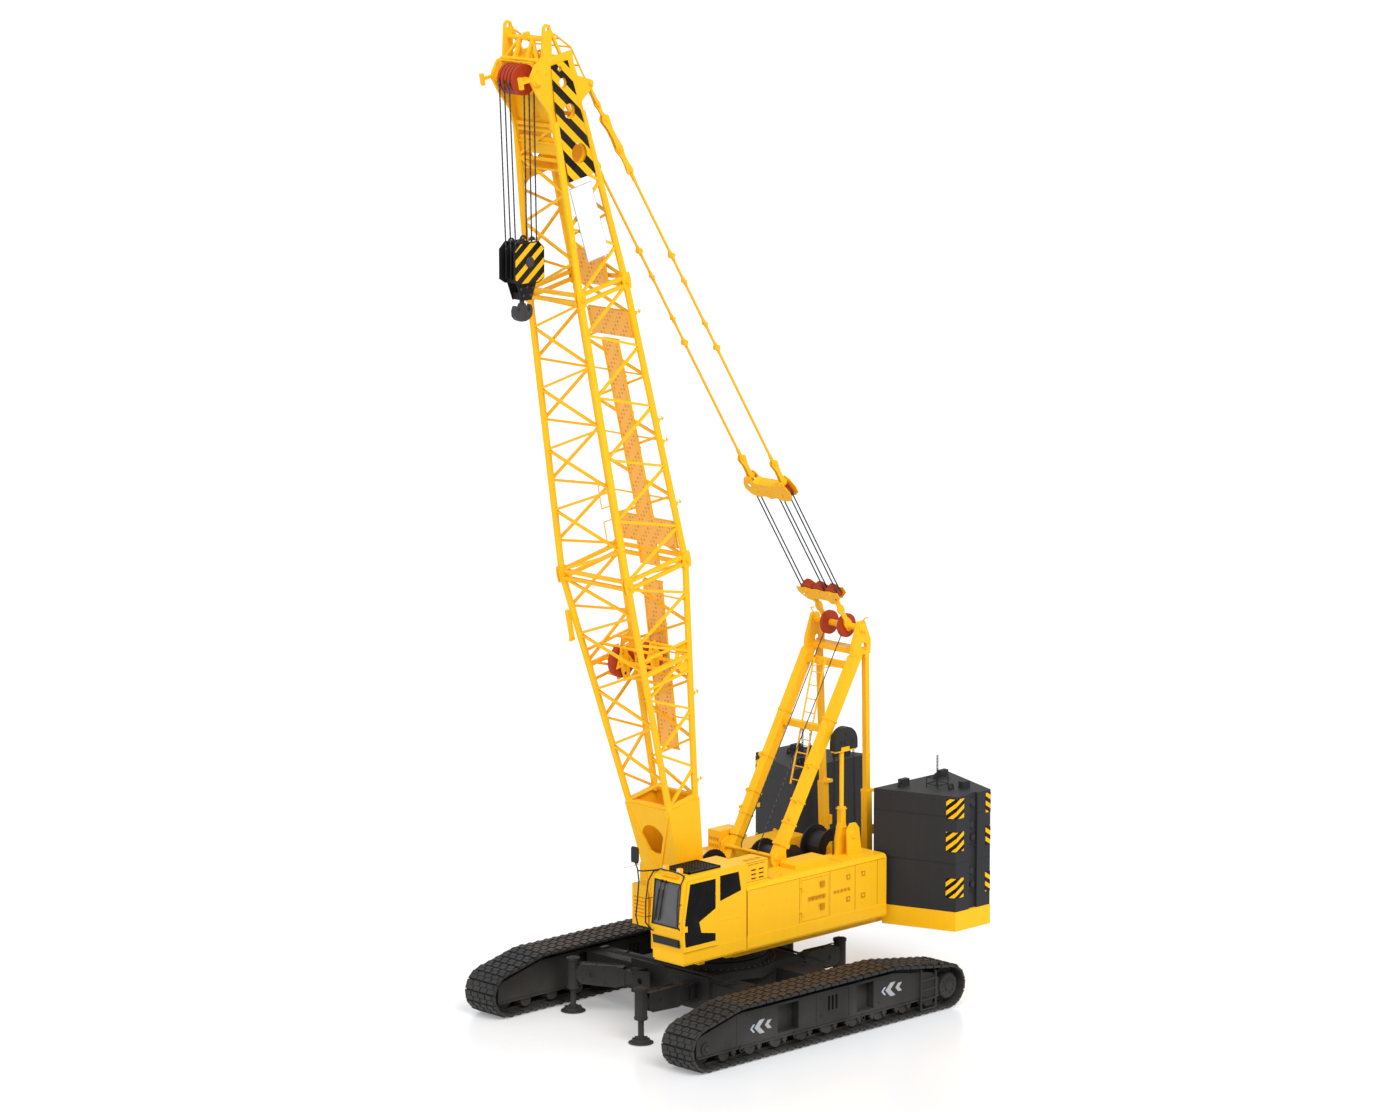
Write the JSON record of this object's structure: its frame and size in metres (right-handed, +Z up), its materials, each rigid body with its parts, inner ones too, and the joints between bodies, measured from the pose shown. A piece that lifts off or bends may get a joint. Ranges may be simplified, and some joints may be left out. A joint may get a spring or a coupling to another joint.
{
  "type": "crawler crane",
  "caption": "Crawler crane with a lattice boom held steep by pendants and a raised gantry, split rear ballast, side cab, four folding jacks and a double hook.",
  "frame": {"origin": "on the slewing axis at ground level", "axes": "+X to the crane's front, +Y to the operator's left, +Z up"},
  "size_m": [11.7822, 6.8, 21.0795],
  "materials": {
    "ballast_grey": "satin",
    "cab_glass": "clear",
    "cab_yellow": "gloss",
    "crane_yellow": "gloss",
    "frame_black": "satin",
    "hook_grey": "satin",
    "rod_steel": "polished",
    "rope_steel": "matte",
    "sheave_red": "satin",
    "track_steel": "matte",
    "winch_black": "satin"
  },
  "bodies": {
    "undercarriage": {"carbody": "frame_black", "track_frame_left": "frame_black", "track_frame_right": "frame_black", "track_left": "track_steel", "track_right": "track_steel"},
    "superstructure": {"ballast_slab_1": "ballast_grey", "ballast_slab_2": "ballast_grey", "ballast_slab_3": "ballast_grey", "ballast_tray": "crane_yellow", "cab_glass": "cab_glass", "cab_shell": "cab_yellow", "engine": "winch_black", "gantry_head": "crane_yellow", "gantry_legs": "crane_yellow", "gantry_links": "crane_yellow", "house_left": "crane_yellow", "house_right": "crane_yellow", "turntable_deck": "crane_yellow"},
    "cab_door": {"cab_door": "cab_yellow", "cab_door_glass": "cab_glass"},
    "door_left": {"house_door_left": "crane_yellow"},
    "door_right": {"house_door_right": "crane_yellow"},
    "drum_front": {"winch_front": "winch_black"},
    "drum_rear": {"winch_rear": "winch_black"},
    "drum_luff": {"winch_luff": "winch_black"},
    "boom": {"boom_base": "crane_yellow", "boom_insert": "crane_yellow", "boom_top": "crane_yellow", "head_sheaves": "sheave_red", "guide_sheaves": "sheave_red"},
    "tackle_lower": {"lower_spreader": "crane_yellow", "luffing_ropes": "rope_steel"},
    "tackle_upper": {"upper_spreader": "crane_yellow", "pendants": "crane_yellow"},
    "falls": {"hoist_falls": "rope_steel"},
    "block": {"hook_block": "frame_black"},
    "swivel": {"hook": "hook_grey"},
    "jack_arm_fl": {"jack_arm_fl": "frame_black"},
    "jack_pad_fl": {"jack_pad_fl": "rod_steel"},
    "jack_arm_fr": {"jack_arm_fr": "frame_black"},
    "jack_pad_fr": {"jack_pad_fr": "rod_steel"},
    "jack_arm_rl": {"jack_arm_rl": "frame_black"},
    "jack_pad_rl": {"jack_pad_rl": "rod_steel"},
    "jack_arm_rr": {"jack_arm_rr": "frame_black"},
    "jack_pad_rr": {"jack_pad_rr": "rod_steel"}
  },
  "joints": [
    {"name": "slew", "type": "hinge", "parent": "undercarriage", "child": "superstructure", "pos_m": [0, 0, 1.3], "axis": [0, 0, 1], "continuous": true},
    {"name": "boom_luff", "type": "hinge", "parent": "superstructure", "child": "boom", "pos_m": [0.96, 0, 2], "axis": [0, 1, 0], "range_deg": [-3, 47.9]},
    {"name": "tackle_swing", "type": "hinge", "parent": "superstructure", "child": "tackle_lower", "pos_m": [-3.62, 0, 7.75], "axis": [0, 1, 0], "range_deg": [-3.11, 46.65]},
    {"name": "tackle_pay_out", "type": "slide", "parent": "tackle_lower", "child": "tackle_upper", "axis": [0.5367, 0, 0.8437], "range_m": [-0.3828, 5.9625], "deforming": ["luffing_ropes"]},
    {"name": "falls_plumb", "type": "hinge", "parent": "boom", "child": "falls", "pos_m": [5.51401, 0, 19.97473], "axis": [0, 1, 0], "range_deg": [-48.1, 3.2]},
    {"name": "hoist", "type": "slide", "parent": "falls", "child": "block", "axis": [0, 0, -1], "range_m": [-0.6, 6], "deforming": ["hoist_falls"]},
    {"name": "hook_swivel", "type": "hinge", "parent": "block", "child": "swivel", "pos_m": [5.40401, 0, 15.58], "axis": [0, 0, 1], "continuous": true},
    {"name": "cab_door_slide", "type": "slide", "parent": "superstructure", "child": "cab_door", "axis": [-1, 0, 0], "range_m": [0, 0.78]},
    {"name": "house_door_left_hinge", "type": "hinge", "parent": "superstructure", "child": "door_left", "pos_m": [-0.93, 1.62, 2.4], "axis": [0, 0, -1], "range_deg": [0, 110]},
    {"name": "house_door_right_hinge", "type": "hinge", "parent": "superstructure", "child": "door_right", "pos_m": [-0.93, -1.62, 2.4], "axis": [0, 0, 1], "range_deg": [0, 110]},
    {"name": "winch_front_turn", "type": "hinge", "parent": "superstructure", "child": "drum_front", "pos_m": [-0.3, 0, 2.9], "axis": [0, 1, 0], "continuous": true},
    {"name": "winch_rear_turn", "type": "hinge", "parent": "superstructure", "child": "drum_rear", "pos_m": [-1.79, 0, 2.89], "axis": [0, 1, 0], "continuous": true},
    {"name": "winch_luff_turn", "type": "hinge", "parent": "superstructure", "child": "drum_luff", "pos_m": [-3.2, 0, 2.98], "axis": [0, 1, 0], "continuous": true},
    {"name": "jack_swing_fl", "type": "hinge", "parent": "undercarriage", "child": "jack_arm_fl", "pos_m": [1.5, 0.78, 0.83], "axis": [0, 0, 1], "range_deg": [0, 70]},
    {"name": "jack_lift_fl", "type": "slide", "parent": "jack_arm_fl", "child": "jack_pad_fl", "axis": [0, 0, 1], "range_m": [-0.025, 0.36]},
    {"name": "jack_swing_fr", "type": "hinge", "parent": "undercarriage", "child": "jack_arm_fr", "pos_m": [1.5, -0.78, 0.83], "axis": [0, 0, -1], "range_deg": [-60, 10]},
    {"name": "jack_lift_fr", "type": "slide", "parent": "jack_arm_fr", "child": "jack_pad_fr", "axis": [0, 0, 1], "range_m": [-0.025, 0.36]},
    {"name": "jack_swing_rl", "type": "hinge", "parent": "undercarriage", "child": "jack_arm_rl", "pos_m": [-1.5, 0.78, 0.83], "axis": [0, 0, -1], "range_deg": [0, 70]},
    {"name": "jack_lift_rl", "type": "slide", "parent": "jack_arm_rl", "child": "jack_pad_rl", "axis": [0, 0, 1], "range_m": [-0.025, 0.36]},
    {"name": "jack_swing_rr", "type": "hinge", "parent": "undercarriage", "child": "jack_arm_rr", "pos_m": [-1.5, -0.78, 0.83], "axis": [0, 0, 1], "range_deg": [0, 70]},
    {"name": "jack_lift_rr", "type": "slide", "parent": "jack_arm_rr", "child": "jack_pad_rr", "axis": [0, 0, 1], "range_m": [-0.025, 0.36]}
  ],
  "couplings": [
    {"joint": "tackle_swing", "follows": "boom_luff", "ratio": 0.96962},
    {"joint": "tackle_pay_out", "follows": "boom_luff", "m_per_rad": 7.1201},
    {"joint": "falls_plumb", "follows": "boom_luff", "ratio": -1}
  ]
}
